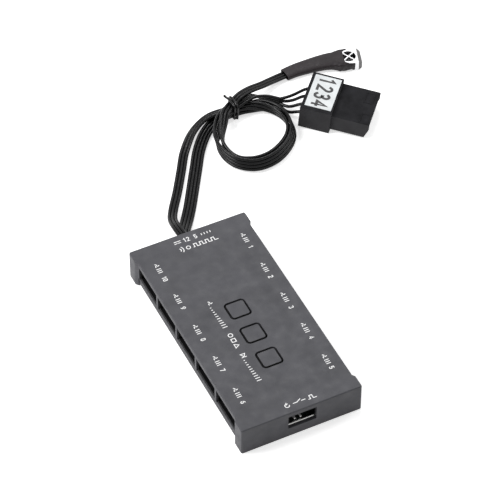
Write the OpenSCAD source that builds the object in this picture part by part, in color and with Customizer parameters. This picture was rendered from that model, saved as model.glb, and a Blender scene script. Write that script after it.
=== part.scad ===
/* [Case] */
// Length of the case along Y
case_length = 105; // [100:1:125]
// Width of the case over its four corner ears
case_width = 52.5; // [52:0.5:60]
// Height of the closed case
case_height = 13.5; // [13.5:0.5:18]
// Thickness of the side and end walls
wall = 1.6; // [1.4:0.1:1.8]
// Thickness of the top plate
top_plate = 1.8; // [1.4:0.1:1.8]
// Step from the ear face in to the waist
waist_step = 0.9; // [0.6:0.1:1.2]
// Length of one ear along the side
ear_length = 5.9; // [5:0.1:6]
// Radius of the upright corners
corner_radius = 0.8; // [0.4:0.1:1.2]
// Radius along the top edges
edge_radius = 0.5; // [0.2:0.1:0.8]

/* [Base and board] */
// Thickness of the floor of the base
base_floor = 1.6; // [1.4:0.1:2]
// Height of the ribs that carry the board
board_rib = 1.2; // [1.1:0.1:1.4]
// Thickness of the circuit board
board_thickness = 1.6; // [1.2:0.1:1.6]
// Distance of a case screw in from the ear face
screw_inset = 5.05; // [5.05:0.05:5.45]
// Diameter of a case screw thread
screw_diameter = 2.2; // [2:0.1:2.4]

/* [Ports] */
// Depth of a header cavity
header_cavity = 8.6; // [8.4:0.1:9.5]
// Length of a contact pin in a header
header_pin = 4.2; // [3:0.1:4.2]
// Width of the window for the reset lead
reset_width = 12.2; // [9:0.1:14]

/* [Keys] */
// Side of one key cap
key_side = 8.3; // [7.5:0.1:8.5]
// Gap round a key cap
key_gap = 0.5; // [0.3:0.1:0.6]
// Spacing of the three keys
key_pitch = 14.2; // [12:0.1:14.5]
// Middle of the far key along Y
key_first = 5.1; // [4:0.1:8]

/* [Power plug] */
// Width of the rear grip block
grip_width = 23.2; // [22:0.1:25]
// Length of the rear grip block
grip_length = 13.8; // [13:0.1:16]
// Height of the rear grip block
grip_height = 11.2; // [11:0.1:12]
// Length of the front shroud
shroud_length = 16.8; // [15:0.1:18]
// Width of the front shroud
shroud_width = 21.2; // [20.6:0.1:22]
// Spacing of the four contacts
contact_pitch = 5.08; // [4.9:0.01:5.1]
// Diameter of one contact pin
contact_diameter = 2.1; // [1.6:0.1:2.2]

/* [Receiver] */
// Width of the metal shield
shield_width = 9.2; // [8.8:0.1:9.2]
// Length of the metal shield
shield_length = 8; // [7.6:0.1:8]
// Diameter of the window in the shield
window_diameter = 6.4; // [5:0.1:6.6]

/* [Cables] */
// Diameter of one insulated wire
wire_diameter = 1.4; // [1.2:0.1:1.4]
// Diameter of the tie wire
tie_diameter = 0.9; // [0.7:0.1:0.9]

/* [Hidden] */
$fn = 32;
e = 0.01;
waist_half = case_width / 2 - waist_step;
end_half = case_length / 2;
ear_start = end_half - ear_length;
waist_end = ear_start - waist_step - 0.3;
screw_x = case_width / 2 - screw_inset;
screw_head = screw_diameter * 1.8;
board_z = base_floor + board_rib;
split_z = board_z + board_thickness;
inner_half = waist_half - wall;
inner_end = end_half - wall;
ceiling_z = case_height - top_plate;
screw_y = end_half - 4.3;
port_pitch = (2 * ear_start - 2.7) / 5;
port_width = port_pitch - 1.3;
port_height = ceiling_z - split_z - 0.3;
port_rows = [-2, -1, 0, 1, 2];
header_front = waist_half - 0.65;
header_width = port_pitch - 0.7;
header_height = port_height - 0.2;
header_depth = header_cavity + 3.4;
header_wall = 0.8;
header_end = header_front - header_depth;
driver_length = wall * 1.9;
driver_width = wall;
driver_height = wall * 0.7;
chip_side = key_side * 1.2;
switch_side = key_side * 0.72;
switch_height = ceiling_z - split_z - 3.8;
stem_z = split_z + switch_height + 0.6;
socket_length = 7;
reset_x = 0.15;
reset_pin_x = -0.83;
key_x = 0.15;
flange_z = ceiling_z - 0.85;
exit_half = 3.5;
exit_low = split_z;
exit_high = split_z + 4.3;
cable_move = [0, end_half - 52.5, 0];
plug_place = [82.2, 107.7];
plug_turn = -41.7;
shroud_low = 1.1;
shroud_high = 9.6;
lip_cut = 2;
plug_pitch = atan(shroud_low / (shroud_length - lip_cut));
contact_z = 5.4;
receiver_place = [116.3, 123.5, 2.6];
receiver_turn = -19;
shield_half = 2.1;
sheet = 0.3;
window_x = -4.1;

// Each stop of a flat cable is x, y, z and the roll of its width
power_route = [
  [0, 47.5, 5.8, 0], [0, 54.9, 5.8, 0], [2.9, 61.6, 4, 0], [7.4, 68.6, 1.6, 0],
  [12.2, 75.9, 0.9, 0], [17.6, 84.6, 0.8, 0], [23.9, 94.8, 0.8, 0], [30.2, 104.8, 0.8, 0],
  [37.6, 113.2, 0.9, 0], [45.2, 117.5, 1.4, 0], [52.5, 118.1, 1.8, 0], [59.5, 117.7, 1.9, 12],
  [65.7, 115.4, 2.9, 62], [70.7, 109.4, 3.1, 92], [72, 101.5, 3.3, 105], [69.5, 93.8, 3.4, 115],
  [63.5, 87.6, 3.3, 122], [55.6, 83.8, 3.2, 125], [47.1, 83.6, 3.3, 122], [40.3, 88.3, 3.4, 108],
  [37.3, 95.7, 3.6, 95], [37.9, 103.7, 4, 75], [42.5, 110.8, 4.7, 40], [47, 115.1, 5.3, 15],
  [52.5, 118.1, 5.1, 0], [58, 119.7, 5.5, -5], [63.6, 120.4, 4.9, -30], [68.9, 118, 3.6, -68],
  [73.2, 113.5, 3.1, -90]
];
receiver_route = [
  [0, 47.5, 7.3, 0], [0, 55.2, 7.3, 0], [0.2, 62.8, 6, 0], [1.6, 70.2, 3.2, 0],
  [5, 77, 1.2, 0], [11, 85.9, 0.8, 0], [17.5, 96.1, 0.8, 0], [24.1, 106.5, 0.8, 0],
  [32.4, 115.2, 1.9, -20], [42, 119.3, 3.2, -20], [52.5, 118.3, 3.4, 0], [59.3, 117.3, 3.4, 12],
  [64.7, 114.2, 3.7, 62], [69.1, 108.6, 3.1, 92], [70.4, 101.7, 2.9, 105], [67.9, 94.8, 3.2, 115],
  [62.3, 89.4, 3.5, 122], [55, 86, 3.6, 125], [47.7, 86, 3.5, 122], [41.7, 89.5, 3.4, 108],
  [39.5, 95.9, 3.4, 95], [40.1, 102.9, 5.2, 70], [44.1, 109.6, 6.5, 40], [47.2, 114.1, 7.3, 15],
  [52.5, 118.3, 6.9, 0], [57.4, 121, 7.4, -5], [63.4, 123.4, 6.3, 0], [70.2, 125.6, 4.3, 0],
  [77.2, 128.2, 2.3, 0], [84.6, 129.6, 1.5, 0], [92.4, 129.7, 1.5, 0], [99.6, 129, 1.5, 0],
  [104.8, 127.5, 2.5, 0], [109.1, 126, 2.6, 0]
];
// Each stop of a single wire is x, y and z
wire_routes = [
  [[73.2, 113.5, 5.2], [78.4, 112.6, 5.4], [83.4, 113.2, 6], [87.6, 113.1, 6.4], [92, 109.1, 6]],
  [[73.2, 113.5, 3.8], [77.6, 111, 3.9], [81.2, 110.4, 5.5], [84.2, 109.3, 6.4], [88.7, 105.3, 6]],
  [[73.2, 113.5, 2.4], [75.2, 109.6, 2.4], [77.9, 107.5, 4.6], [80.8, 105.5, 6.4], [85.3, 101.5, 6]],
  [[73.2, 113.5, 1], [73.7, 108.7, 1.2], [74.9, 104.5, 4], [77.4, 101.8, 6.4], [81.9, 97.8, 6]]
];
tie_route = [
  [50.6, 122.8, 8.9], [51.2, 121.8, 8.1], [51.6, 120.2, 8.4], [51.8, 116.6, 8.5], [52, 114.9, 7.6],
  [52, 114.8, 2.6], [52, 115.4, 0.7], [52.2, 120.8, 0.7], [52.6, 121.8, 2.2], [52.8, 122, 6],
  [53, 121, 8.3], [53.2, 116.6, 8.4], [53.4, 114.7, 7.3], [53.2, 114.5, 4.2], [52.2, 113, 2.2]
];
// Each stop of the sleeve is x, y, z, outer half width and height, inner half width and height
sleeve_route = [
  [83.4, 129.4, 1.5, 2.8, 1.4, 2.3, 0.85], [88.6, 129.8, 1.5, 2.8, 1.4, 2.3, 0.85],
  [94, 129.6, 1.5, 2.8, 1.4, 2.3, 0.85], [99.6, 129, 1.6, 2.8, 1.4, 2.3, 0.85],
  [104.4, 127.6, 2.4, 2.8, 1.5, 2.3, 0.9], [107.2, 126.6, 2.6, 3, 1.6, 2.3, 0.9],
  [108.5, 126.2, 2.6, 4.9, 2.5, 4.65, 2.15], [112, 125, 2.6, 5.1, 2.6, 4.65, 2.15]
];

function unit(v) = v / norm(v);
function along(r, i) = unit(at(r, min(i + 1, len(r) - 1)) - at(r, max(i - 1, 0)));
function at(r, i) = [r[i][0], r[i][1] + cable_move[1], r[i][2]];
function side_of(t) = unit(cross([0, 0, 1], t));
// Corner of an eight sided flat section, half width w and half height h
function flat_corner(w, h, c) = [
  [w, -h + c], [w, h - c], [w - c, h], [-w + c, h],
  [-w, h - c], [-w, -h + c], [-w + c, -h], [w - c, -h]
];
function ring_at(c, t, roll, section) =
  let(s = side_of(t), u = cross(t, s))
  let(a = cos(roll) * s + sin(roll) * u, b = cos(roll) * u - sin(roll) * s)
  [for (k = section) c + a * k[0] + b * k[1]];
function split_quad(a, b, c, d) = [[a, b, c], [a, c, d]];
function tube_faces(rings, n) = concat(
  [[for (k = [0 : n - 1]) k]],
  [for (i = [0 : rings - 2], k = [0 : n - 1])
    each split_quad(i * n + k, (i + 1) * n + k, (i + 1) * n + (k + 1) % n, i * n + (k + 1) % n)],
  [[for (k = [n - 1 : -1 : 0]) (rings - 1) * n + k]]
);
function round_section(r) = [for (k = [0 : 7]) r * [cos(45 * k + 22.5), sin(45 * k + 22.5)]];

// A flat cable swept along its stops
module ribbon(route, wires) {
  section = flat_corner(wires * wire_diameter / 2, wire_diameter / 2, wire_diameter * 0.3);
  points = [for (i = [0 : len(route) - 1]) each ring_at(at(route, i), along(route, i), route[i][3], section)];
  polyhedron(points = points, faces = tube_faces(len(route), 8), convexity = 10);
}

// A round wire swept along its stops
module round_wire(route, diameter) {
  section = round_section(diameter / 2);
  points = [for (i = [0 : len(route) - 1]) each ring_at(at(route, i), along(route, i), 0, section)];
  polyhedron(points = points, faces = tube_faces(len(route), 8), convexity = 10);
}

// One quarter of the case outline, drawn in by d
function case_quarter(d) =
  let(half = case_width / 2, shift = d * tan(atan(waist_step / (waist_step + 0.3)) / 2))
  concat(
    [[waist_half - d, waist_end + shift], [half - d, ear_start + shift]],
    [for (a = [0 : 22.5 : 90])
      [half - corner_radius, end_half - corner_radius] + (corner_radius - d) * [cos(a), sin(a)]]
  );
function turned(list) = [for (i = [len(list) - 1 : -1 : 0]) list[i]];
function case_outline(d) =
  let(q = case_quarter(d))
  concat(q, turned([for (p = q) [-p[0], p[1]]]), [for (p = q) -p], turned([for (p = q) [p[0], -p[1]]]));

// The outer block of the case, with its top edge rounded by a hood of rings laid over it
module case_outer() {
  steep = case_height - edge_radius * 0.5;
  near = case_height - edge_radius * 0.13;
  steps = [[-1, -1.04], [steep - 4.25 * edge_radius * 2, -1.04 * edge_radius * 2],
    [steep, edge_radius * 0.13], [near, edge_radius * 0.5],
    [near + 2 * (case_height - near), edge_radius * 1.5]];
  n = len(case_outline(0));
  points = [for (s = steps) for (p = case_outline(s[1])) [p[0], p[1], s[0]]];
  m = (len(steps) - 1) * n;
  faces = concat(
    [[for (k = [0 : n - 1]) k]],
    [for (i = [0 : len(steps) - 2], k = [0 : n - 1])
      each split_quad(i * n + k, (i + 1) * n + k, (i + 1) * n + (k + 1) % n, i * n + (k + 1) % n)],
    [[for (k = [n - 1 : -1 : 0]) m + k]]
  );
  intersection() {
    linear_extrude(case_height)
      polygon(case_outline(0));
    polyhedron(points = points, faces = faces, convexity = 10);
  }
}

// A square with rounded corners, as an upright block
module rounded_square(side, radius, height) {
  straight = side - 2 * radius;
  translate([-side / 2, -straight / 2, 0])
    cube([side, straight, height]);
  translate([-straight / 2, -side / 2, 0])
    cube([straight, side, height]);
  for (x = [-1, 1], y = [-1, 1])
    translate([x * straight / 2, y * straight / 2, 0])
      cylinder(r = radius, h = height);
}

module at_screws(z) {
  for (x = [-1, 1], y = [-1, 1])
    translate([x * screw_x, y * screw_y, z])
      children();
}

module at_key(i) {
  translate([key_x, key_first - key_pitch * i, 0])
    children();
}

module case_lid() {
  color([0.2, 0.2, 0.22])
    difference() {
      union() {
        difference() {
          case_outer();
          translate([-inner_half, -inner_end, -1])
            cube([2 * inner_half, 2 * inner_end, ceiling_z + 1]);
        }
        at_screws(split_z)
          cylinder(d = 5.6, h = ceiling_z - split_z + e);
      }
      for (s = [-1, 1])
        translate([s * (waist_half + 1) - 2.8, -waist_end, -1])
          cube([5.6, 2 * waist_end, split_z + 1]);
      for (s = [-1, 1], i = port_rows) {
        translate([s * waist_half - 3, i * port_pitch - port_width / 2, split_z - 1])
          cube([6, port_width, port_height + 1]);
        translate([s * (inner_half + 0.2) - 0.8, i * port_pitch - header_width / 2 - 0.1, split_z - 1])
          cube([1.6, header_width + 0.2, port_height + 1]);
      }
      at_screws(split_z - e)
        cylinder(d = screw_diameter, h = 5);
      for (i = [0 : 2])
        at_key(i)
          translate([0, 0, ceiling_z - 1])
            rounded_square(key_side + 2 * key_gap, 1.8, top_plate + 2);
      translate([reset_x - reset_width / 2, -end_half - 1, split_z + 0.2])
        cube([reset_width, wall + 2, port_height - 0.3]);
      translate([-exit_half, end_half - wall - 1, exit_low])
        cube([2 * exit_half, wall + 2, exit_high - exit_low]);
    }
}

module case_base() {
  color([0.17, 0.17, 0.18])
    difference() {
      union() {
        translate([-inner_half + 0.1, -inner_end + 0.1, 0])
          cube([2 * inner_half - 0.2, 2 * inner_end - 0.2, base_floor]);
        for (s = [0, 1])
          mirror([s, 0, 0])
            translate([0, waist_end - 0.1, 0])
              rotate([90, 0, 0])
                linear_extrude(2 * waist_end - 0.2)
                  polygon([[inner_half - 2, 0], [waist_half - 0.75, 0], [waist_half - 0.35, 1.2],
                    [waist_half - 0.35, split_z], [inner_half - 0.15, split_z],
                    [inner_half - 0.15, board_z], [inner_half - 2, board_z]]);
        at_screws(0)
          cylinder(d = 4.4, h = board_z);
      }
      at_screws(-1)
        cylinder(d = screw_diameter + 0.3, h = board_z + 2);
      at_screws(-1)
        cylinder(d = screw_head + 0.2, h = 2);
    }
}

module case_screws() {
  color([0.55, 0.56, 0.58])
    at_screws(0.1)
      difference() {
        union() {
          cylinder(d = screw_head, h = base_floor - 0.7);
          cylinder(d = screw_diameter - 0.04, h = split_z + 4.4);
        }
        for (a = [0, 90])
          rotate([0, 0, a])
            translate([-0.3 * screw_head, -0.25, -e])
              cube([0.6 * screw_head, 0.5, 0.5]);
      }
}

module circuit_board() {
  color([0.05, 0.06, 0.06])
    difference() {
      translate([-inner_half + 0.25, -inner_end + 0.5, board_z])
        cube([2 * inner_half - 0.5, 2 * inner_end - 1, board_thickness]);
      at_screws(board_z - 1)
        cylinder(d = screw_diameter + 0.4, h = 4);
    }
}

// Rows 1 to 5 are on the right side, 6 to 10 on the left
module at_port(n) {
  s = n <= 5 ? 1 : -1;
  row = n <= 5 ? 3 - n : n - 8;
  translate([0, row * port_pitch, split_z])
    rotate([0, 0, s > 0 ? 0 : 180])
      translate([header_front, 0, 0])
        children();
}

module side_header(n) {
  color([0.06, 0.06, 0.065])
    at_port(n)
      difference() {
        translate([-header_depth, -header_width / 2, 0])
          cube([header_depth, header_width, header_height]);
        translate([-header_cavity, -header_width / 2 + header_wall, header_wall])
          cube([header_cavity + 1, header_width - 2 * header_wall, header_height - 2 * header_wall]);
        translate([-3, -2.2, header_height - 2])
          cube([4, 4.4, 3]);
      }
}
module side_header_1() { side_header(1); }
module side_header_2() { side_header(2); }
module side_header_3() { side_header(3); }
module side_header_4() { side_header(4); }
module side_header_5() { side_header(5); }
module side_header_6() { side_header(6); }
module side_header_7() { side_header(7); }
module side_header_8() { side_header(8); }
module side_header_9() { side_header(9); }
module side_header_10() { side_header(10); }

module header_pins() {
  color([0.8, 0.7, 0.35])
    for (n = [1 : 10], i = [-2.5 : 1 : 2.5])
      at_port(n)
        translate([-header_cavity, i * 2.5 - 0.3, header_height / 2 - 0.3])
          cube([header_pin, 0.6, 0.6]);
}

module reset_header() {
  color([0.06, 0.06, 0.065])
    difference() {
      translate([reset_pin_x - 2.54, 3.5 - inner_end, split_z])
        cube([5.08, 2.5, 3]);
      for (i = [-0.5, 0.5])
        translate([reset_pin_x + i * 2.54 - 0.32, 2.9 - inner_end, split_z + 1.7])
          cube([0.64, 4, 0.64]);
    }
}

module reset_pins() {
  color([0.8, 0.7, 0.35])
    for (i = [-0.5, 0.5])
      translate([reset_pin_x + i * 2.54 - 0.32, 0, split_z]) {
        translate([0, 0.6 - inner_end, 1.7])
          cube([0.64, 6.6, 0.64]);
        translate([0, 6.56 - inner_end, 0])
          cube([0.64, 0.64, 2]);
      }
}

module key(i) {
  color([0.18, 0.18, 0.2])
    at_key(i) {
      translate([0, 0, flange_z])
        rounded_square(key_side, 1.3, case_height - flange_z);
      translate([0, 0, flange_z])
        rounded_square(key_side + 2 * key_gap + 0.6, 1.8, 0.8);
      translate([0, 0, stem_z])
        cylinder(d = 3.4, h = flange_z - stem_z + e);
    }
}
module far_key() { key(0); }
module middle_key() { key(1); }
module near_key() { key(2); }

module switch_body(i) {
  color([0.62, 0.63, 0.65])
    at_key(i)
      translate([0, 0, split_z])
        difference() {
          translate([-switch_side / 2, -switch_side / 2, 0])
            cube([switch_side, switch_side, switch_height]);
          translate([0, 0, switch_height - 1.5])
            cylinder(d = 3.5, h = 2);
        }
}
module far_switch() { switch_body(0); }
module middle_switch() { switch_body(1); }
module near_switch() { switch_body(2); }

module plunger(i) {
  color([0.08, 0.08, 0.08])
    at_key(i)
      translate([0, 0, stem_z - 1.6])
        cylinder(d = 3.3, h = 1.6);
}
module far_plunger() { plunger(0); }
module middle_plunger() { plunger(1); }
module near_plunger() { plunger(2); }

module controller_chip() {
  color([0.05, 0.05, 0.05])
    translate([-chip_side / 2, port_pitch, split_z])
      cube([chip_side, chip_side, driver_height * 1.25]);
}

module driver_chips() {
  color([0.05, 0.05, 0.05])
    for (s = [-1, 1], i = port_rows)
      translate([s * (header_end - 3.2) - driver_length / 2, i * port_pitch - driver_width / 2, split_z])
        cube([driver_length, driver_width, driver_height]);
}

module voltage_regulator() {
  color([0.06, 0.06, 0.06])
    translate([-3.3, -2.1 * port_pitch, split_z])
      cube([6.6, 6.2, 2.3]);
}

module smoothing_capacitor() {
  color([0.6, 0.62, 0.65])
    translate([0, 1.9 * port_pitch, split_z]) {
      translate([-3.3, -3.3, 0])
        cube([6.6, 6.6, 0.8]);
      cylinder(d = 6.3, h = ceiling_z - split_z - 1.3);
    }
}

module cable_socket() {
  color([0.85, 0.84, 0.8])
    translate([-5, inner_end - 3.4 - socket_length, split_z])
      cube([10, socket_length, 4.6]);
}

module cable_grommet() {
  color([0.05, 0.05, 0.05])
    difference() {
      union() {
        translate([-exit_half + 0.05, inner_end - 0.9, exit_low + 0.05])
          cube([2 * exit_half - 0.1, wall + 3, exit_high - exit_low - 0.1]);
        translate([-exit_half - 0.8, inner_end - 0.9, exit_low + 0.05])
          cube([2 * exit_half + 1.6, 0.8, exit_high - exit_low + 0.7]);
      }
      translate([-2.85, inner_end - 2, exit_low + 0.65])
        cube([5.7, 8, 3]);
    }
}

module power_ribbon() {
  color([0.04, 0.04, 0.045])
    ribbon(power_route, 4);
}

module receiver_ribbon() {
  color([0.04, 0.04, 0.045])
    ribbon(receiver_route, 3);
}

module power_wire(i) {
  color([0.04, 0.04, 0.045])
    round_wire(wire_routes[i], wire_diameter);
}
module power_wire_1() { power_wire(0); }
module power_wire_2() { power_wire(1); }
module power_wire_3() { power_wire(2); }
module power_wire_4() { power_wire(3); }

// A hollow tube that flares round the back of the shield
module shrink_sleeve() {
  n = len(sleeve_route);
  outer = [for (i = [0 : n - 1]) each ring_at(at(sleeve_route, i), along(sleeve_route, i), 0,
    flat_corner(sleeve_route[i][3], sleeve_route[i][4], sleeve_route[i][4] * 0.5))];
  inner = [for (i = [0 : n - 1]) each ring_at(at(sleeve_route, i), along(sleeve_route, i), 0,
    flat_corner(sleeve_route[i][5], sleeve_route[i][6], 0.1))];
  m = n * 8;
  faces = concat(
    [for (i = [0 : n - 2], k = [0 : 7])
      each split_quad(i * 8 + k, (i + 1) * 8 + k, (i + 1) * 8 + (k + 1) % 8, i * 8 + (k + 1) % 8)],
    [for (i = [0 : n - 2], k = [0 : 7])
      each split_quad(m + i * 8 + k, m + i * 8 + (k + 1) % 8,
        m + (i + 1) * 8 + (k + 1) % 8, m + (i + 1) * 8 + k)],
    [for (k = [0 : 7]) each split_quad(k, (k + 1) % 8, m + (k + 1) % 8, m + k)],
    [for (k = [0 : 7])
      each split_quad(m - 8 + k, 2 * m - 8 + k, 2 * m - 8 + (k + 1) % 8, m - 8 + (k + 1) % 8)]
  );
  color([0.12, 0.11, 0.12])
    polyhedron(points = concat(outer, inner), faces = faces, convexity = 10);
}

module at_receiver() {
  translate(receiver_place + cable_move)
    rotate([0, 0, receiver_turn])
      children();
}

// A folded sheet box with a round window and two crossed bars
module receiver_shield() {
  half = shield_width / 2;
  inside = half - sheet;
  color([0.82, 0.83, 0.85])
    at_receiver() {
      difference() {
        union() {
          translate([-shield_length, -half, -shield_half])
            cube([shield_length + e, shield_width, 2 * shield_half]);
          hull() {
            translate([0, -half, -shield_half])
              cube([e, shield_width, 2 * shield_half]);
            translate([1.3, -half + 1.1, -shield_half])
              cube([e, shield_width - 2.2, 2 * shield_half - 0.8]);
          }
        }
        translate([-shield_length - 1, -inside, -shield_half + sheet])
          cube([shield_length + 1.2, 2 * inside, 2 * shield_half - 2 * sheet]);
        translate([window_x, 0, 0])
          cylinder(d = window_diameter, h = 4);
      }
      translate([window_x, 0, shield_half - sheet])
        for (a = [45, -45])
          rotate([0, 0, a])
            translate([-window_diameter / 2 - 0.2, -0.3, 0])
              cube([window_diameter + 0.4, 0.6, sheet]);
    }
}

module receiver_lens() {
  half = shield_width / 2 - sheet - 0.1;
  color([0.03, 0.03, 0.035])
    at_receiver() {
      translate([-shield_length + 0.45, -half, -shield_half + sheet])
        cube([shield_length - 0.4, 2 * half, 2.2]);
      translate([window_x, 0, -shield_half + sheet + 2])
        intersection() {
          translate([0, 0, -1.2])
            sphere(r = 2.6, $fn = 32);
          cylinder(d = 6, h = 4);
        }
    }
}

// The plug rests on the front foot of its grip and on its lip
module at_plug() {
  translate([plug_place[0], plug_place[1] + cable_move[1], grip_length * sin(plug_pitch)])
    rotate([0, 0, plug_turn])
      rotate([0, plug_pitch, 0])
        children();
}

module shroud_block(half, low, high, bevel, start, length) {
  translate([start, 0, 0])
    rotate([90, 0, 90])
      linear_extrude(length)
        polygon([[-half + bevel, low], [half - bevel, low], [half, low + bevel],
          [half, high], [-half, high], [-half, low + bevel]]);
}

module plug_housing() {
  half = shroud_width / 2;
  color([0.09, 0.09, 0.095])
    at_plug()
      difference() {
        union() {
          translate([0, -grip_width / 2, 0])
            cube([grip_length, grip_width, grip_height]);
          shroud_block(half, shroud_low, shroud_high, 0.8, grip_length - e, shroud_length + e);
        }
        shroud_block(half - 1.2, shroud_low + 1.1, shroud_high - 1.1, 0.6, 16, shroud_length + 2);
        translate([grip_length + shroud_length - lip_cut, half + 1, shroud_low])
          rotate([90, 0, 0])
            linear_extrude(shroud_width + 2)
              polygon([[0, -1], [lip_cut + 1, -1], [lip_cut + 1, 6.1], [lip_cut, 5.4], [0, 0]]);
        for (i = [-1.5 : 1 : 1.5])
          translate([-1, i * contact_pitch, contact_z])
            rotate([0, 90, 0])
            cylinder(d = 3.4, h = 7.8);
      }
}

module plug_pins() {
  color([0.82, 0.82, 0.8])
    at_plug()
      for (i = [-1.5 : 1 : 1.5])
        translate([16, i * contact_pitch, contact_z])
          rotate([0, 90, 0]) {
            cylinder(d = contact_diameter, h = 7.4);
            translate([0, 0, 7.4])
              cylinder(d1 = contact_diameter, d2 = 1, h = 1.2);
          }
}

module plug_sticker() {
  color([0.88, 0.89, 0.9])
    at_plug()
      translate([1.4, -9.4, grip_height])
        cube([11.7, 19.8, 0.15]);
}

module wire_tie() {
  color([0.04, 0.04, 0.04])
    round_wire(tie_route, tie_diameter);
}

case_lid();
case_base();
case_screws();
circuit_board();
side_header_1();
side_header_2();
side_header_3();
side_header_4();
side_header_5();
side_header_6();
side_header_7();
side_header_8();
side_header_9();
side_header_10();
header_pins();
reset_header();
reset_pins();
far_key();
middle_key();
near_key();
far_switch();
middle_switch();
near_switch();
far_plunger();
middle_plunger();
near_plunger();
controller_chip();
driver_chips();
voltage_regulator();
smoothing_capacitor();
cable_socket();
cable_grommet();
power_ribbon();
receiver_ribbon();
power_wire_1();
power_wire_2();
power_wire_3();
power_wire_4();
shrink_sleeve();
receiver_shield();
receiver_lens();
plug_housing();
plug_pins();
plug_sticker();
wire_tie();
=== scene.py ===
"""The finished look of a lighting control board: a flat boxed hub with ten side ports, three
square keys, a reset window, and two flat cables that end in a drive power plug and a receiver."""

import math

import bpy
import bmesh
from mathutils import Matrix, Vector


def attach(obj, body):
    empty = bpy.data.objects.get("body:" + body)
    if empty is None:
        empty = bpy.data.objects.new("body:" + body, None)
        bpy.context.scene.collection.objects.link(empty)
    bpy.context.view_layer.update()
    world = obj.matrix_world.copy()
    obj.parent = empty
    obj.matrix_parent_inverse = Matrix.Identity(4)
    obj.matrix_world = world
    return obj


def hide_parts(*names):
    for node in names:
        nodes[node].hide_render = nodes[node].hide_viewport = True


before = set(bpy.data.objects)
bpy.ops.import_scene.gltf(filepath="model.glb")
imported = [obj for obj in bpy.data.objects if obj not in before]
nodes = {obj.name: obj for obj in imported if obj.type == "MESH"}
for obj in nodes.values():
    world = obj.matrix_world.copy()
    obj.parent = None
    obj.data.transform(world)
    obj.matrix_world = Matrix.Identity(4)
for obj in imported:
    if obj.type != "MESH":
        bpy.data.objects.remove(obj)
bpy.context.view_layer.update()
MM = 0.001

# The camera stands well back and looks down over the near left corner of the hub, as a
# catalogue photograph is taken, with a long lens so that the sides run nearly parallel.
aim = Vector((24.233, 43.179, 0)) * MM
turn, height, distance = math.radians(-26.08), math.radians(47.04), 1163.39 * MM
towards_camera = Vector(
    (math.sin(turn) * math.cos(height), -math.cos(turn) * math.cos(height), math.sin(height))
)
sensor_width, picture_pixels, focal_pixels = 36, 500, 2810
lens = bpy.data.cameras.new("camera")
lens.sensor_width = sensor_width
lens.lens = focal_pixels * sensor_width / picture_pixels
lens.clip_start, lens.clip_end = 0.05, 20
camera = bpy.data.objects.new("camera", lens)
camera.location = aim + towards_camera * distance
camera.rotation_euler = towards_camera.to_track_quat("Z", "Y").to_euler()
bpy.context.scene.collection.objects.link(camera)
bpy.context.scene.camera = camera


# The two flat cables are rows of fine stranded wires in fused black jackets. The power cable
# has four wires and the receiver cable three. They leave the hub one on the other, lie along
# the table, make one loop together and are tied where they cross.
WIRE = 1.4
# Each stop is a point in millimetres and the cable's roll in degrees
POWER_STOPS = [
    (0, 47.5, 5.8, 0), (0, 54.9, 5.8, 0), (2.9, 61.6, 4, 0), (7.4, 68.6, 1.6, 0),
    (12.2, 75.9, 0.9, 0), (17.6, 84.6, 0.8, 0), (23.9, 94.8, 0.8, 0), (30.2, 104.8, 0.8, 0),
    (37.6, 113.2, 0.9, 0), (45.2, 117.5, 1.4, 0), (52.5, 118.1, 1.8, 0), (59.5, 117.7, 1.9, 12),
    (65.7, 115.4, 2.9, 62), (70.7, 109.4, 3.1, 92), (72, 101.5, 3.3, 105), (69.5, 93.8, 3.4, 115),
    (63.5, 87.6, 3.3, 122), (55.6, 83.8, 3.2, 125), (47.1, 83.6, 3.3, 122),
    (40.3, 88.3, 3.4, 108),
    (37.3, 95.7, 3.6, 95), (37.9, 103.7, 4, 75), (42.5, 110.8, 4.7, 40), (47, 115.1, 5.3, 15),
    (52.5, 118.1, 5.1, 0), (58, 119.7, 5.5, -5), (63.6, 120.4, 4.9, -30), (68.9, 118, 3.6, -68),
    (73.2, 113.5, 3.1, -90),
]
RECEIVER_STOPS = [
    (0, 47.5, 7.3, 0), (0, 55.2, 7.3, 0), (0.2, 62.8, 6, 0), (1.6, 70.2, 3.2, 0),
    (5, 77, 1.2, 0), (11, 85.9, 0.8, 0), (17.5, 96.1, 0.8, 0), (24.1, 106.5, 0.8, 0),
    (32.4, 115.2, 1.9, -20), (42, 119.3, 3.2, -20), (52.5, 118.3, 3.4, 0), (59.3, 117.3, 3.4, 12),
    (64.7, 114.2, 3.7, 62), (69.1, 108.6, 3.1, 92), (70.4, 101.7, 2.9, 105),
    (67.9, 94.8, 3.2, 115),
    (62.3, 89.4, 3.5, 122), (55, 86, 3.6, 125), (47.7, 86, 3.5, 122), (41.7, 89.5, 3.4, 108),
    (39.5, 95.9, 3.4, 95), (40.1, 102.9, 5.2, 70), (44.1, 109.6, 6.5, 40), (47.2, 114.1, 7.3, 15),
    (52.5, 118.3, 6.9, 0), (57.4, 121, 7.4, -5), (63.4, 123.4, 6.3, 0), (70.2, 125.6, 4.3, 0),
    (77.2, 128.2, 2.3, 0), (84.6, 129.6, 1.5, 0), (92.4, 129.7, 1.5, 0), (99.6, 129, 1.5, 0),
    (104.8, 127.5, 2.5, 0), (109.1, 126, 2.6, 0),
]


def smooth_run(stops, per_span):
    """One smooth curve through the stops, with every number of a stop carried along it."""
    run = []
    for i in range(len(stops) - 1):
        before, start = stops[max(i - 1, 0)], stops[i]
        end, after = stops[i + 1], stops[min(i + 2, len(stops) - 1)]
        for step in range(per_span):
            t = step / per_span
            run.append([
                0.5 * (2 * b + (c - a) * t + (2 * a - 5 * b + 4 * c - d) * t * t
                       + (3 * b - a - 3 * c + d) * t ** 3)
                for a, b, c, d in zip(before, start, end, after)
            ])
    return run + [list(stops[-1])]


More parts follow.
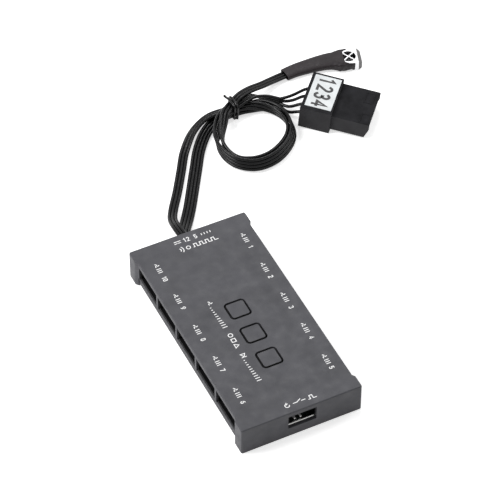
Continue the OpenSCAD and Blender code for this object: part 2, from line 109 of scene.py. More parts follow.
def cross_frames(run):
    """Centre, across and upward direction at each point of a run, in millimetres."""
    centres = [Vector(p[:3]) for p in run]
    frames = []
    for i, centre in enumerate(centres):
        ahead = (centres[min(i + 1, len(run) - 1)] - centres[max(i - 1, 0)]).normalized()
        level = Vector((0, 0, 1)).cross(ahead).normalized()
        rise = ahead.cross(level)
        roll = math.radians(run[i][3]) if len(run[i]) > 3 else 0.0
        frames.append((centre, math.cos(roll) * level + math.sin(roll) * rise,
                       math.cos(roll) * rise - math.sin(roll) * level))
    return frames


def skin(name, rings, material, joined=False, smooth=True):
    """A mesh drawn over rings of points in millimetres, capped at both ends, unless joined
    closes its last ring on the first."""
    mesh = bmesh.new()
    loops = [[mesh.verts.new(p * MM) for p in ring] for ring in rings]
    count = len(rings[0])
    spans = len(rings) if joined else len(rings) - 1
    for i in range(spans):
        here, there = loops[i], loops[(i + 1) % len(rings)]
        for k in range(count):
            mesh.faces.new((here[k], there[k], there[(k + 1) % count], here[(k + 1) % count]))
    if not joined:
        mesh.faces.new(loops[0])
        mesh.faces.new(reversed(loops[-1]))
    bmesh.ops.recalc_face_normals(mesh, faces=mesh.faces)
    data = bpy.data.meshes.new(name)
    mesh.to_mesh(data)
    mesh.free()
    for face in data.polygons:
        face.use_smooth = smooth and len(face.vertices) == 4
    data.materials.append(material)
    piece = bpy.data.objects.new(name, data)
    bpy.context.scene.collection.objects.link(piece)
    return piece


# A noise lies mostly between the first two values, and its peaks between the others
NOISE_LOW, NOISE_HIGH, PEAK_LOW, PEAK_HIGH = 0.3, 0.7, 0.66, 0.74
# The height of a face's normal at which the painted light on standing faces begins, and is full
PAINTED_LIGHT_BEGINS, PAINTED_LIGHT_FULL = 0.9, 0.6


def finish(name, colour, roughness, tone=0.12, tone_size=6.0, grain=0.25, depth=0.01,
           gloss_change=0.08, metal=0.0, coat=0.0, rounding=0.0, streak=(1, 1, 1), painted_glints=0.0,
           shine=0.5, painted_wall_light=0.0):
    """A finish for one material. Sizes are in millimetres: tone_size is that of the cloudy
    change of shade, grain and depth are the surface texture, and rounding softens edges.
    Streak stretches the texture, speck is how bright its fine painted glints are, shine is
    the strength of reflections, and wall is painted light: how much lighter the standing
    faces are painted than the top."""
    made = bpy.data.materials.new(name)
    made.use_nodes = True
    tree = made.node_tree
    add, link = tree.nodes.new, tree.links.new
    shader = tree.nodes["Principled BSDF"]
    shader.inputs["Metallic"].default_value = metal
    shader.inputs["Coat Weight"].default_value = coat
    shader.inputs["Coat Roughness"].default_value = 0.25
    shader.inputs["Specular IOR Level"].default_value = shine
    place = add("ShaderNodeTexCoord")
    stretch = add("ShaderNodeMapping")
    stretch.inputs["Scale"].default_value = streak
    link(place.outputs["Object"], stretch.inputs["Vector"])

    def cloud(size, detail):
        noise = add("ShaderNodeTexNoise")
        noise.inputs["Scale"].default_value = 1 / (size * MM)
        noise.inputs["Detail"].default_value = detail
        link(stretch.outputs["Vector"], noise.inputs["Vector"])
        return noise

    shade = add("ShaderNodeValToRGB")
    shade.color_ramp.elements[0].position = NOISE_LOW
    shade.color_ramp.elements[1].position = NOISE_HIGH
    shade.color_ramp.elements[0].color = [c * (1 - tone) for c in colour] + [1]
    shade.color_ramp.elements[1].color = [min(1, c * (1 + tone)) for c in colour] + [1]
    link(cloud(tone_size, 4).outputs["Fac"], shade.inputs["Fac"])
    tint = shade.outputs["Color"]
    fine = cloud(grain, 3)
    # the fine bright dots added to the colour are painted glints
    if painted_glints:
        glint_dots = add("ShaderNodeValToRGB")
        glint_dots.color_ramp.elements[0].position = PEAK_LOW
        glint_dots.color_ramp.elements[1].position = PEAK_HIGH
        link(fine.outputs["Fac"], glint_dots.inputs["Fac"])
        mix = add("ShaderNodeMix")
        mix.data_type = "RGBA"
        mix.blend_type = "ADD"
        mix.inputs["Factor"].default_value = painted_glints
        link(tint, mix.inputs["A"])
        link(glint_dots.outputs["Color"], mix.inputs["B"])
        tint = mix.outputs["Result"]
    # painted light: standing faces are mixed towards a pale tint by the height of their normal
    if painted_wall_light:
        facing = add("ShaderNodeSeparateXYZ")
        link(place.outputs["Normal"], facing.inputs["Vector"])
        painted_light_mask = add("ShaderNodeMapRange")
        painted_light_mask.inputs["From Min"].default_value = PAINTED_LIGHT_BEGINS
        painted_light_mask.inputs["From Max"].default_value = PAINTED_LIGHT_FULL
        painted_light_mask.inputs["To Max"].default_value = painted_wall_light
        link(facing.outputs["Z"], painted_light_mask.inputs["Value"])
        painted_light_mix = add("ShaderNodeMix")
        painted_light_mix.data_type = "RGBA"
        link(painted_light_mask.outputs["Result"], painted_light_mix.inputs["Factor"])
        link(tint, painted_light_mix.inputs["A"])
        painted_light_mix.inputs["B"].default_value = (1, 0.97, 1, 1)
        tint = painted_light_mix.outputs["Result"]
    link(tint, shader.inputs["Base Color"])
    polish = add("ShaderNodeMapRange")
    polish.inputs["From Min"].default_value = NOISE_LOW
    polish.inputs["From Max"].default_value = NOISE_HIGH
    polish.inputs["To Min"].default_value = roughness - gloss_change
    polish.inputs["To Max"].default_value = roughness + gloss_change
    link(cloud(tone_size / 3, 3).outputs["Fac"], polish.inputs["Value"])
    link(polish.outputs["Result"], shader.inputs["Roughness"])
    relief = add("ShaderNodeBump")
    relief.inputs["Strength"].default_value = 0.6
    relief.inputs["Distance"].default_value = depth * MM
    link(fine.outputs["Fac"], relief.inputs["Height"])
    if rounding:
        soft = add("ShaderNodeBevel")
        soft.samples = 6
        soft.inputs["Radius"].default_value = rounding * MM
        link(soft.outputs["Normal"], relief.inputs["Normal"])
    link(relief.outputs["Normal"], shader.inputs["Normal"])
    return made


def ribbed_outline(wires, radius):
    """Outline of a row of fused jackets, counter-clockwise. Fused is the angle, in degrees,
    that each groove takes off a jacket on either side."""
    fused, steps, outline = 9, 8, []
    for w in reversed(range(wires)):
        first = 0 if w == wires - 1 else fused
        last = 180 if w == 0 else 180 - fused
        outline += [(w, first + (last - first) * k / steps) for k in range(steps + 1)]
    for w in range(wires):
        first = 180 if w == 0 else 180 + fused
        last = 360 if w == wires - 1 else 360 - fused
        outline += [(w, first + (last - first) * k / steps) for k in range(steps + 1)]
    outline = [p for i, p in enumerate(outline) if i == 0 or p != outline[i - 1]][:-1]
    middle = (wires - 1) / 2
    return [
        ((w - middle) * 2 * radius + radius * math.cos(math.radians(a)),
         radius * math.sin(math.radians(a)))
        for w, a in outline
    ]


wire_jacket = finish("wire_jacket", (0.003, 0.003, 0.0035), 0.24, tone=0.3, tone_size=3,
                     grain=1.2, depth=0.0012, gloss_change=0.04, shine=0.2)


def flat_cable(name, stops, wires):
    """A flat cable of so many wires, and its middle line in metres."""
    run = smooth_run(stops, 8)
    outline = ribbed_outline(wires, WIRE / 2)
    rings = [[c + across * x + up * y for x, y in outline] for c, across, up in cross_frames(run)]
    cable = skin(name, rings, wire_jacket)
    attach(cable, "case")
    return cable, [[v * MM for v in p[:3]] for p in run]


power_cable, power_line = flat_cable("power_cable", POWER_STOPS, 4)
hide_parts("power_ribbon")
receiver_cable, receiver_line = flat_cable("receiver_cable", RECEIVER_STOPS, 3)
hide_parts("receiver_ribbon")

# Behind the plug the power cable is split into its four single wires, which fan out and go
# into the four round entries in the back of the plug.
TAIL_STOPS = [
    [(73.2, 113.5, 5.2), (78.4, 112.6, 5.4), (83.4, 113.2, 6), (87.6, 113.1, 6.4),
     (92, 109.1, 6)],
    [(73.2, 113.5, 3.8), (77.6, 111, 3.9), (81.2, 110.4, 5.5), (84.2, 109.3, 6.4),
     (88.7, 105.3, 6)],
    [(73.2, 113.5, 2.4), (75.2, 109.6, 2.4), (77.9, 107.5, 4.6), (80.8, 105.5, 6.4),
     (85.3, 101.5, 6)],
    [(73.2, 113.5, 1), (73.7, 108.7, 1.2), (74.9, 104.5, 4), (77.4, 101.8, 6.4), (81.9, 97.8, 6)],
]


def relaxed(run, passes):
    """The run with its kinks eased, as a springy wire lies; its ends stay."""
    for _ in range(passes):
        run = [run[0]] + [
            [(a + 2 * b + c) / 4 for a, b, c in zip(run[i - 1], run[i], run[i + 1])]
            for i in range(1, len(run) - 1)
        ] + [run[-1]]
    return run


def round_wire(name, stops, diameter, material, sides, passes):
    """A round wire through the stops, eased so many times."""
    rings = [
        [c + across * math.cos(a) * diameter / 2 + up * math.sin(a) * diameter / 2
         for a in (2 * math.pi * k / sides for k in range(sides))]
        for c, across, up in cross_frames(relaxed(smooth_run(stops, 10), passes))
    ]
    wire = skin(name, rings, material)
    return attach(wire, "case")


for number, stops in enumerate(TAIL_STOPS, 1):
    tail = round_wire("plug_wire_%d" % number, stops, WIRE, wire_jacket, sides=16, passes=60)
    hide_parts("power_wire_%d" % number)

# The tie is one length of coated wire wound twice round both cables, with its two ends left
# standing where they were twisted off.
TIE_STOPS = [
    (50.6, 122.8, 8.9), (51.2, 121.8, 8.1), (51.6, 120.2, 8.4), (51.8, 116.6, 8.5),
    (52, 114.9, 7.6), (52, 114.8, 2.6), (52, 115.4, 0.7), (52.2, 120.8, 0.7), (52.6, 121.8, 2.2),
    (52.8, 122, 6), (53, 121, 8.3), (53.2, 116.6, 8.4), (53.4, 114.7, 7.3), (53.2, 114.5, 4.2),
    (52.2, 113, 2.2),
]
tie_coat = finish("tie_coat", (0.004, 0.004, 0.0045), 0.18, tone=0.2, tone_size=2, grain=0.4,
                  depth=0.004, gloss_change=0.05, shine=0.3)
tie = round_wire("tie", TIE_STOPS, 1.1, tie_coat, sides=12, passes=6)
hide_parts("wire_tie")

# The shrink sleeve is a tube of thin rubbery plastic, drawn down by heat on to the receiver
# cable. It widens to a puckered mouth that grips the back of the metal shield.
# Each stop is a point, the roll, and the sleeve's half width and half height
SLEEVE_STOPS = [
    (83.4, 129.4, 1.6, 0, 3.3, 1.5), (88.6, 129.8, 1.7, 0, 3.5, 1.6),
    (94, 129.6, 1.8, 0, 3.8, 1.7), (99.6, 129, 2, 0, 4.1, 1.9),
    (103.4, 128, 2.4, 0, 4.4, 2.1), (106, 127.1, 2.6, 0, 4.7, 2.3),
    (108.5, 126.2, 2.7, 0, 5.3, 2.5), (110.6, 125.4, 2.7, 0, 4.9, 2.5),
    (112.6, 124.7, 2.7, 0, 4.9, 2.5),
]
sleeve_skin = finish("sleeve_skin", (0.020, 0.016, 0.018), 0.5, tone=0.18, tone_size=4,
                     grain=0.5, depth=0.03, gloss_change=0.1, shine=0.25)
SLEEVE_SIDES, SLEEVE_WALL, MOUTH_RINGS = 48, 0.35, 13


def sleeve_rings(thickness, along):
    """Rings of the sleeve, drawn in by a thickness for its inner face. The section grows
    squarer and more lumpy towards the mouth."""
    rings = []
    frames = cross_frames(along)
    for number, (centre, across, up) in enumerate(frames):
        wide, high = along[number][4] - thickness, along[number][5] - thickness
        share = number / len(along)
        tight = share ** 2
        mouth = max(0, number - len(along) + MOUTH_RINGS + 1) / MOUTH_RINGS
        ahead = up.cross(across)
        if ahead.dot(frames[-1][0] - frames[0][0]) < 0:
            ahead = -ahead
        # the power that squares the section falls from 0.7 to 0.28 over a quarter of the length
        square = 0.7 - 0.42 * max(0, min(1, (share - 0.6) / 0.25))
        ring = []
        for k in range(SLEEVE_SIDES):
            a = 2 * math.pi * k / SLEEVE_SIDES
            x = math.copysign(abs(math.cos(a)) ** square, math.cos(a)) * wide
            y = math.copysign(abs(math.sin(a)) ** square, math.sin(a)) * high
            folds = 0.035 * math.sin(3 * a + number * 0.21)
            creases = 0.05 * math.sin(7 * a + number * 0.35) * math.sin(number * 0.5)
            swell = 1 + (folds + creases) * tight
            # over the window the edge is drawn back, and on the near side it reaches on
            drawn, reach = max(0, math.sin(a)) ** 2, max(0, -math.cos(a)) ** 2
            back = mouth * (2.8 * drawn - 2.4 * reach + 0.3 * math.sin(6 * a + 1))
            ring.append(centre + across * x * swell + up * y * swell - ahead * back)
        rings.append(ring)
    return rings


sleeve_run = smooth_run(SLEEVE_STOPS, 8)
outer, inner = sleeve_rings(0, sleeve_run), sleeve_rings(SLEEVE_WALL, sleeve_run)
sleeve = skin("sleeve", outer + inner[::-1], sleeve_skin, joined=True)
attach(sleeve, "case")
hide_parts("shrink_sleeve")


# The receiver is a black lens block in a shield folded from bright tinned sheet, with a round
# window and two bars left across it. Both keep the shape of their solids.
def ease_edges(node, width):
    """Joins a node's flat facets and rounds its sharp edges; its own mesh stays as it is."""
    piece = nodes[node]
    for face in piece.data.polygons:
        face.use_smooth = True
    weld = piece.modifiers.new("weld", "WELD")
    weld.merge_threshold = 0.002 * MM
    flat = piece.modifiers.new("flat", "DECIMATE")
    flat.decimate_type = "DISSOLVE"
    flat.angle_limit = math.radians(0.5)
    ease = piece.modifiers.new("ease", "BEVEL")
    ease.width = width * MM
    ease.segments = 2
    ease.limit_method = "ANGLE"
    ease.angle_limit = math.radians(40)
    ease.miter_outer = "MITER_ARC"
    ease.use_clamp_overlap = True
    level = piece.modifiers.new("level", "WEIGHTED_NORMAL")
    level.weight = 80
    level.keep_sharp = False
    return piece


def dress(node, material, width=0.0):
    """Gives a CAD node its finish, and rounds its edges where a width is given."""
    piece = ease_edges(node, width) if width else nodes[node]
    piece.data.materials.clear()
    piece.data.materials.append(material)
    return piece


shield_tin = finish("shield_tin", (0.64, 0.64, 0.65), 0.30, tone=0.03, tone_size=2, grain=0.4,
                    depth=0.002, gloss_change=0.05, metal=1.0, streak=(1, 3, 1))
lens_plastic = finish("lens_plastic", (0.006, 0.006, 0.008), 0.14, tone=0.2, tone_size=3,
                      grain=0.5, depth=0.002, gloss_change=0.04, coat=0.5)
shield = dress("receiver_shield", shield_tin)
receiver_lens = dress("receiver_lens", lens_plastic)

# A thin four-sided grey plate is pressed over the front edges of the sheet at the sloping nose
# of the shield. Its grey is painted shade, where the folded nose turns away from the light.
painted_nose_shade = finish("painted_nose_shade", (0.13, 0.125, 0.125), 0.5, tone=0.1, tone_size=2, grain=0.3,
                      depth=0.008)
nose_turn = math.radians(-19)
NOSE_FRONT = Vector((116.3, 123.5, 2.6))


def on_receiver(x, y, z):
    """A point of the receiver, given along it from the nose, across it and up."""
    return NOSE_FRONT + Vector((
        x * math.cos(nose_turn) - y * math.sin(nose_turn),
        x * math.sin(nose_turn) + y * math.cos(nose_turn),
        z,
    ))


nose_rings = []
for x, side, low, high in ((-0.1, 4.66, -2.1, 2.16), (0.1, 4.66, -2.1, 2.16),
                           (1.3, 3.6, -2.1, 1.42), (1.5, 3.4, -2.0, 1.2)):
    corners = [(-side, low), (side, low), (side, high), (-side, high)]
    nose_rings.append([on_receiver(x, y, z) for y, z in corners])
receiver_nose_shade = skin("receiver_nose_shade", nose_rings, painted_nose_shade, smooth=False)
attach(receiver_nose_shade, "case")

# The plug is one moulding of black nylon: a grip block with four wire entries, and a slimmer
# shroud round four tinned pins. Its sticker is pale film printed with the four pin numbers.
# The nylon's upright faces are painted slightly paler than its top, as painted light.
plug_nylon = finish("plug_nylon", (0.018, 0.018, 0.020), 0.52, tone=0.35, tone_size=6, grain=0.6,
                    depth=0.012, gloss_change=0.14, shine=0.04, painted_wall_light=0.03)
contact_tin = finish("contact_tin", (0.80, 0.80, 0.78), 0.28, tone=0.06, tone_size=1.5, grain=0.3,
                     depth=0.004, metal=1.0)
sticker_film = finish("sticker_film", (0.72, 0.75, 0.76), 0.34, tone=0.09, tone_size=5, grain=0.8,
                      depth=0.012, gloss_change=0.1)
sticker_ink = finish("sticker_ink", (0.014, 0.014, 0.015), 0.4, tone=0.2, tone_size=1, grain=0.2,
                     depth=0.002)
plug = dress("plug_housing", plug_nylon, 0.25)
plug_pins = dress("plug_pins", contact_tin)
plug_sticker = dress("plug_sticker", sticker_film)


def arc(cx, cy, radius, start, end, steps=14):
    """Points of an arc, with angles in degrees."""
    return [
        (cx + radius * math.cos(math.radians(start + (end - start) * k / steps)),
         cy + radius * math.sin(math.radians(start + (end - start) * k / steps)))
        for k in range(steps + 1)
    ]


# Plain numbers as strokes, about one unit wide and two high
DIGITS = {
    "0": [arc(0.5, 1.45, 0.5, 0, 180) + arc(0.5, 0.55, 0.5, 180, 360) + [(1.0, 1.45)]],
    "1": [[(0.12, 1.6), (0.55, 2.0), (0.55, 0)]],
    "2": [arc(0.5, 1.48, 0.5, 160, -35) + [(0, 0), (1.05, 0)]],
    "3": [arc(0.5, 1.5, 0.47, 150, -90) + arc(0.5, 0.52, 0.52, 90, -150)],
    "4": [[(0.78, 0), (0.78, 2.0), (0, 0.6), (1.1, 0.6)]],
    "5": [[(0.95, 2.0), (0.12, 2.0), (0.08, 1.1)] + arc(0.47, 0.62, 0.55, 110, -150)],
    "6": [[(0.85, 1.95), (0.3, 1.55)] + arc(0.5, 0.58, 0.52, 150, 500, 22)],
    "7": [[(0, 2.0), (1.0, 2.0), (0.35, 0)]],
    "8": [arc(0.5, 1.52, 0.44, -90, 270, 20), arc(0.5, 0.54, 0.54, 90, 450, 22)],
    "9": [arc(0.5, 1.42, 0.52, -30, 320, 22) + [(0.7, 0.45), (0.15, 0.05)]],
}

# Shares of a stroke's width: how far its free ends reach on, and the narrowest mitre
STROKE_TIP, NARROWEST_MITRE = 0.3, 0.55
# Below this length the sum of two directions is a turn back on itself, which is blunted
SHARP_TURN = 0.3
# Points nearer than the first of these are one point, and ends nearer than the second meet
SAME_POINT, ENDS_MEET = 1e-4, 1e-3


def printed(name, strokes, lay, width, material, thickness=0.02):
    """Ink laid as thin ribbons along strokes; lay turns stroke points to world millimetres,
    with the ink's thickness as the third number."""
    mesh = bmesh.new()
    for stroke in strokes:
        points = [Vector(p) for i, p in enumerate(stroke)
                  if i == 0 or (Vector(p) - Vector(stroke[i - 1])).length > SAME_POINT]
        closed = (points[0] - points[-1]).length < ENDS_MEET
        if closed:
            points.pop()
        count = len(points)
        edges = []
        for i, p in enumerate(points):
            before = points[i - 1] if closed or i else p
            after = points[(i + 1) % count] if closed or i < count - 1 else p
            come = (p - before).normalized() if before != p else (after - p).normalized()
            go = (after - p).normalized() if after != p else come
            bend = come + go
            if bend.length < SHARP_TURN:
                bend = Vector((come.y, -come.x)) * SHARP_TURN + go
            bend.normalize()
            normal = Vector((-bend.y, bend.x))
            reach = width / 2 / max(NARROWEST_MITRE, normal.dot(Vector((-go.y, go.x))))
            tip = Vector((0, 0))
            if not closed and i in (0, count - 1):
                tip = come * (-STROKE_TIP if i == 0 else STROKE_TIP) * width
            edges.append((p + normal * reach + tip, p - normal * reach + tip))
        columns = [
            [mesh.verts.new(lay(q.x, q.y, h) * MM)
             for q, h in ((a, 0), (b, 0), (b, thickness), (a, thickness))]
            for a, b in edges
        ]
        for i in range(count if closed else count - 1):
            here, there = columns[i], columns[(i + 1) % count]
            for k in range(4):
                mesh.faces.new((here[k], there[k], there[(k + 1) % 4], here[(k + 1) % 4]))
        if not closed:
            mesh.faces.new(columns[0])
            mesh.faces.new(reversed(columns[-1]))
    bmesh.ops.recalc_face_normals(mesh, faces=mesh.faces)
    data = bpy.data.meshes.new(name)
    mesh.to_mesh(data)
    mesh.free()
    data.materials.append(material)
    piece = bpy.data.objects.new(name, data)
    bpy.context.scene.collection.objects.link(piece)
    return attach(piece, "case")


def number_strokes(text, x, y, height, squeeze=1.0, gap=0.5):
    """Strokes of a number, from x to the right; returns them and where they end."""
    unit, strokes = height / 2, []
    for sign in text:
        strokes += [[(x + px * unit * squeeze, y + py * unit) for px, py in stroke]
                    for stroke in DIGITS[sign]]
        x += (1 + gap) * unit * squeeze
    return strokes, x


# The plug rests tilted on the far end of its grip and on its lip
PLUG_FOOT = Vector((82.2, 107.7, 0))
GRIP_LENGTH, GRIP_HEIGHT, SHROUD_TOP, STICKER = 13.8, 11.2, 9.55, 0.15
plug_turn, plug_pitch = math.radians(-41.7), math.atan(1.1 / 14.8)


def on_plug(x, y, z):
    """A point of the plug, given along it, across it and up, as a world point."""
    ahead = x * math.cos(plug_pitch) + z * math.sin(plug_pitch)
    up = (GRIP_LENGTH - x) * math.sin(plug_pitch) + z * math.cos(plug_pitch)
    return PLUG_FOOT + Vector((
        ahead * math.cos(plug_turn) - y * math.sin(plug_turn),
        ahead * math.sin(plug_turn) + y * math.cos(plug_turn),
        up,
    ))


digit_height, digit_squeeze, digit_pitch, digit_stroke = 6.4, 0.82, 4.75, 1.25
pin_numbers = []
for number in range(4):
    strokes, _ = number_strokes(str(number + 1), 0, 0, digit_height, digit_squeeze)
    pin_numbers += [[(px + number * digit_pitch, py) for px, py in stroke] for stroke in strokes]
sticker_mark = printed(
    "sticker_mark", pin_numbers,
    lambda x, y, h: on_plug(4.1 + y, 9.0 - x, GRIP_HEIGHT + STICKER + h), digit_stroke,
    sticker_ink,
)

# Two shallow frames are moulded on the shroud beside its mouth. They are part of the same
# black nylon moulding, and stand a quarter of a millimetre proud of it.
frames = [[(25, 2.5), (28.6, 2.5), (28.6, 8.6), (25, 8.6), (25, 2.5)],
          [(26, -4.4), (29.5, -4.4), (29.5, -10), (26, -10), (26, -4.4)]]
plug_frames = printed("plug_frames", frames, lambda x, y, h: on_plug(x, y, SHROUD_TOP + h), 0.4,
                      plug_nylon, thickness=0.25)

# The base is a shallow dark grey moulding with sills along both sides. Four small countersunk
# screws come up through it into the corners of the lid.
base_plastic = finish("base_plastic", (0.055, 0.055, 0.061), 0.6, tone=0.12, tone_size=8,
                      grain=0.16, depth=0.03, gloss_change=0.06, rounding=0.12, shine=0.3)
screw_steel = finish("screw_steel", (0.55, 0.56, 0.58), 0.35, tone=0.1, tone_size=1, grain=0.15,
                     depth=0.008, metal=1.0)
dress("case_base", base_plastic, 0.15)
dress("case_screws", screw_steel)

# Inside the case is one black circuit board with its controller, ten small drivers, a
# regulator, a capacitor in a metal can and the ivory socket of the two cables.
board_resist = finish("board_resist", (0.012, 0.018, 0.016), 0.35, tone=0.2, tone_size=7,
                      grain=0.8, depth=0.01, coat=0.2)
chip_plastic = finish("chip_plastic", (0.018, 0.018, 0.019), 0.6, tone=0.1, tone_size=2,
                      grain=0.12, depth=0.008)
capacitor_can = finish("capacitor_can", (0.72, 0.73, 0.75), 0.3, tone=0.05, tone_size=2,
                       grain=0.2, depth=0.004, metal=1.0, streak=(1, 1, 8))
socket_plastic = finish("socket_plastic", (0.70, 0.67, 0.58), 0.45, tone=0.05, tone_size=4,
                        grain=0.3, depth=0.008)
dress("circuit_board", board_resist)

# A tinned strip is plated along the front edge of the board. It shows as a bright line in
# the reset window, under the small header's pins.
bright_tin = finish("bright_tin", (0.95, 0.95, 0.93), 0.34, tone=0.04, tone_size=1, grain=0.2,
                    depth=0.003, metal=0.9)
rim = [(-50.2, 4.3), (-50.75, 4.3), (-50.9, 4.45), (-50.9, 4.8), (-50.8, 4.95), (-50.2, 4.95)]
board_edge = skin("board_edge", [[Vector((x, y, z)) for y, z in rim] for x in (-5.6, 6.0)],
                  bright_tin, smooth=False)
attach(board_edge, "case")
for node in ("controller_chip", "driver_chips", "voltage_regulator"):
    dress(node, chip_plastic, 0.08)
dress("smoothing_capacitor", capacitor_can)
dress("cable_socket", socket_plastic, 0.15)

# Ten shrouded headers in semi-gloss black stand side by side along the edges of the board, and
# a small open one faces the reset window. Their contacts are square gilded pins.
header_plastic = finish("header_plastic", (0.006, 0.006, 0.0065), 0.38, tone=0.2, tone_size=4,
                        grain=0.4, depth=0.012, shine=0.15)
contact_gold = finish("contact_gold", (0.80, 0.62, 0.26), 0.26, tone=0.06, tone_size=1,
                      grain=0.2, depth=0.004, metal=1.0)
for number in range(1, 11):
    dress("side_header_%d" % number, header_plastic, 0.12)
dress("reset_header", header_plastic, 0.1)
dress("header_pins", contact_gold)
pale_tin = finish("pale_tin", (0.95, 0.95, 0.93), 0.4, tone=0.04, tone_size=1, grain=0.2,
                  depth=0.003, metal=0.25)
dress("reset_pins", pale_tin)

# The lid is a moulding of dark grey plastic with a fine matt texture. Its four corners stand
# out as ears, its side windows open on the headers, and its top has three square openings.
# The fine bright dots in its colour are painted glints of the matt texture.
case_plastic = finish("case_plastic", (0.058, 0.058, 0.066), 0.52, tone=0.16, tone_size=13,
                      grain=0.2, depth=0.035, gloss_change=0.09, rounding=0.15, painted_glints=0.03,
                      shine=0.35)
dress("case_lid", case_plastic, 0.14)

# A black rubber grommet lines the cable window in the far end. It sits on the window's edge
# and keeps the plastic off the cables.
grommet_rubber = finish("grommet_rubber", (0.014, 0.014, 0.014), 0.7, tone=0.15, tone_size=2,
                        grain=0.2, depth=0.02)
dress("cable_grommet", grommet_rubber, 0.2)

# The three keys are flush square caps in the lid's own plastic. Each has a flange that keeps
# it in and a stem on the plunger of a small switch with a pressed metal cover.
switch_metal = finish("switch_metal", (0.66, 0.67, 0.69), 0.33, tone=0.06, tone_size=2,
                      grain=0.2, depth=0.004, metal=1.0)
plunger_plastic = finish("plunger_plastic", (0.02, 0.02, 0.02), 0.5, tone=0.1, tone_size=2,
                         grain=0.2, depth=0.006)
gap_shade = finish("gap_shade", (0.004, 0.004, 0.004), 0.7, tone=0.2, tone_size=2, grain=0.2,
                   depth=0.004, shine=0.1)
key_rim = 0.4
for place in ("far", "middle", "near"):
    # the rim of each cap falls away steeply into the gap, so it lies in shade
    key = dress(place + "_key", case_plastic, key_rim)
    key.data.materials.append(gap_shade)
    key.modifiers["ease"].material = 1
    key.modifiers["ease"].use_clamp_overlap = False
    dress(place + "_switch", switch_metal, 0.1)
    dress(place + "_plunger", plunger_plastic, 0.1)

# The marks on the lid are pad printed in white: a fan sign, three bars and a number at each
# port, signs and scales beside the keys, and plain signs at the reset window and cable end.
white_ink = finish("white_ink", (0.92, 0.92, 0.92), 0.5, tone=0.04, tone_size=1, grain=0.15,
                   depth=0.003)
# The lid's top, the width of a stroke, and the height of the signs at a port and at a key
TOP, INK, SIGN, KEY_SIGN = 13.5, 0.36, 1.85, 1.9


def along_side(x_middle, y_start, size):
    """Lays strokes so that they read towards the near end."""
    return lambda x, y, h: Vector((x_middle - size / 2 + y, y_start - x, TOP + h))


def across_end(x_start, y_low):
    """Lays strokes so that they read across the case."""
    return lambda x, y, h: Vector((x_start + x, y_low + y, TOP + h))


def shifted(strokes, dx, dy=0.0):
    """The strokes, moved."""
    return [[(x + dx, y + dy) for x, y in stroke] for stroke in strokes]


def fan_sign(size):
    """Three bent blades about one middle."""
    r = size / 2
    return [
        [(r + r * 1.05 * t * math.cos(a + 1.3 * t), r + r * 1.05 * t * math.sin(a + 1.3 * t))
         for t in (0, 0.3, 0.6, 0.85, 1)]
        for a in (math.radians(10 + 120 * k) for k in range(3))
    ]


def diode_sign(size):
    """A triangle against a bar, the plain sign of a light that is a diode."""
    return [[(0.1, 0), (0.1, size), (size * 0.85, size / 2), (0.1, 0)],
            [(size * 0.95, 0), (size * 0.95, size)]]


def rising_bars(count, pitch, size):
    """Bars that grow along the scale."""
    return [[(k * pitch, 0), (k * pitch, size * (k + 2) / (count + 1))] for k in range(count)]


# Each port's mark: the middle across the case, and where it starts and ends along it
PORT_MARKS = {
    1: (19.8, 41.6, 32.8), 2: (19.8, 23.3, 14.5), 3: (19.8, 5.2, -3.9), 4: (19.8, -13.0, -21.8),
    5: (19.8, -31.3, -39.2), 6: (-19.2, -31.4, -39.9), 7: (-19.2, -13.3, -21.7),
    8: (-19.2, 5.0, -4.0), 9: (-19.2, 23.2, 14.6), 10: (-19.2, 41.5, 31.5),
}
for number, (x_middle, y_start, y_end) in PORT_MARKS.items():
    digits, width = number_strokes(str(number), 0, 0, SIGN, squeeze=0.95, gap=0.45)
    strokes = fan_sign(SIGN) + [[(x, 0.05), (x, SIGN - 0.05)] for x in (2.9, 3.9, 4.9)]
    strokes += shifted(digits, y_start - y_end - width + 0.3)
    printed("port_mark_%d" % number, strokes, along_side(x_middle, y_start, SIGN), INK, white_ink)

scale = shifted(rising_bars(10, 1.3, KEY_SIGN), 3.4)
KEY_MARKS = {
    "far": (13.7, fan_sign(KEY_SIGN) + scale),
    "middle": (-5.3, [arc(0.95, 0.95, 0.9, 0, 360, 18),
                      [(3.0, 0.1), (3.0, 1.8), (4.7, 1.8), (4.7, 0.1), (3.0, 0.1)],
                      [(5.9, 0.1), (6.9, 1.8), (7.9, 0.1), (5.9, 0.1)]]),
    "near": (-17.0, diode_sign(KEY_SIGN) + scale),
}
for place, (y_start, strokes) in KEY_MARKS.items():
    printed(place + "_key_mark", strokes, along_side(-8.6, y_start, KEY_SIGN), INK, white_ink)

restart = [arc(1.0, 1.0, 0.9, 60, 350, 16), [(1.0, 2.35), (1.5, 1.78), (0.85, 1.4)]]
contact = [[(3.6, 1.0), (5.2, 1.0), (7.0, 2.0)], [(7.2, 1.0), (8.8, 1.0)]]
pulses = [[(10.0, 0.2), (10.8, 0.2), (10.8, 1.9), (12.0, 1.9), (12.0, 0.2), (13.4, 0.2)]]
printed("reset_mark", restart + contact + pulses, across_end(-5.6, -49.5), INK, white_ink)

# at the cable end: direct current, 12 and 5 volts, four pins, and waves, an eye and pulses
direct = [[(0, 1.5), (2.8, 1.5)]] + [[(k * 1.6, 0.5), (k * 1.6 + 1.1, 0.5)] for k in range(2)]
twelve, _ = number_strokes("12", 4.2, 0, 2.0, squeeze=0.95)
five, _ = number_strokes("5", 9.0, 0, 2.0, squeeze=0.95)
four_pins = [[(12.2 + 1.3 * k, 0.6), (12.2 + 1.3 * k, 1.4)] for k in range(4)]
waves = [arc(0, 1.0, r, -42, 42, 8) for r in (1.0, 2.1)]
eye = [arc(4.3, 1.0, 0.85, 90, 450, 16)]
pulse_corners = [(start + 2.6 * k, y) for k in range(4)
                 for start, y in ((6.9, 0.2), (6.9, 1.9), (8.1, 1.9), (8.1, 0.2))]
train = [[(6.4, 0.2)] + pulse_corners + [(17.4, 0.2)]]
printed("cable_mark", shifted(direct + twelve + five + four_pins, 0, 4.4) + waves + eye + train,
        across_end(-7.5, 43.2), INK, white_ink)

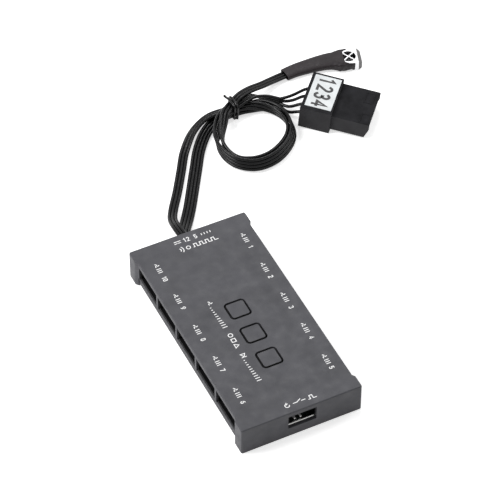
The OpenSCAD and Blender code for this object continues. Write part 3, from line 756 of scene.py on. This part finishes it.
# The hub lies on a white table in plain soft light: a broad lamp above and to the left, weaker
# ones to the right and behind, and a white room all round.
half_table, table_drop, table_glow, room_light = 3, 0.0002, 0.62, 0.3
corners = [(-half_table, -half_table, 0), (half_table, -half_table, 0),
           (half_table, half_table, 0), (-half_table, half_table, 0)]
table_top = bpy.data.meshes.new("table")
table_top.from_pydata(corners, [], [(0, 1, 2, 3)])
table = bpy.data.objects.new("table", table_top)
table.location.z = -table_drop
bpy.context.scene.collection.objects.link(table)
table_white = bpy.data.materials.new("table_white")
table_white.use_nodes = True
tree = table_white.node_tree
tree.nodes["Principled BSDF"].inputs["Base Color"].default_value = (0.9, 0.9, 0.9, 1)
tree.nodes["Principled BSDF"].inputs["Roughness"].default_value = 0.9


def plain_rays(tree):
    """One where the camera, or a mirror or glass, sees the surface; zero for the light that
    it casts."""
    rays, seen = tree.nodes.new("ShaderNodeLightPath"), None
    for kind in ("Is Camera Ray", "Is Glossy Ray", "Is Transmission Ray"):
        if seen is None:
            seen = rays.outputs[kind]
            continue
        either = tree.nodes.new("ShaderNodeMath")
        either.operation = "MAXIMUM"
        tree.links.new(seen, either.inputs[0])
        tree.links.new(rays.outputs[kind], either.inputs[1])
        seen = either.outputs[0]
    return seen


lift = tree.nodes.new("ShaderNodeMath")
lift.operation = "MULTIPLY"
lift.inputs[1].default_value = table_glow
tree.links.new(plain_rays(tree), lift.inputs[0])
tree.nodes["Principled BSDF"].inputs["Emission Color"].default_value = (1, 1, 1, 1)
tree.links.new(lift.outputs[0], tree.nodes["Principled BSDF"].inputs["Emission Strength"])
table_top.materials.append(table_white)

room = bpy.data.worlds.new("room")
bpy.context.scene.world = room
room.use_nodes = True
tree = room.node_tree
air = tree.nodes["Background"]
air.inputs["Color"].default_value = (1, 1, 1, 1)
strength = tree.nodes.new("ShaderNodeMapRange")
strength.inputs["To Min"].default_value = room_light
strength.inputs["To Max"].default_value = 1.0
tree.links.new(plain_rays(tree), strength.inputs["Value"])
tree.links.new(strength.outputs["Result"], air.inputs["Strength"])


lamp_aim = Vector((0.02, 0.04, 0))


def lamp(name, place, size, watts):
    """A rectangular lamp turned to the middle of the hub."""
    light = bpy.data.lights.new(name, "AREA")
    light.shape = "RECTANGLE"
    light.size, light.size_y = size
    light.energy = watts
    stand = bpy.data.objects.new(name, light)
    stand.location = place
    away = Vector(place) - lamp_aim
    stand.rotation_euler = away.to_track_quat("Z", "Y").to_euler()
    bpy.context.scene.collection.objects.link(stand)


lamp("key_lamp", (-0.54, 0.27, 0.68), (0.4, 0.4), 6.5)
lamp("fill_lamp", (0.7, 0.1, 0.6), (0.2, 0.5), 1.5)
lamp("back_lamp", (0.304, 0.481, 0.695), (0.15, 0.15), 1.3)

bpy.context.scene.view_settings.view_transform = "Standard"
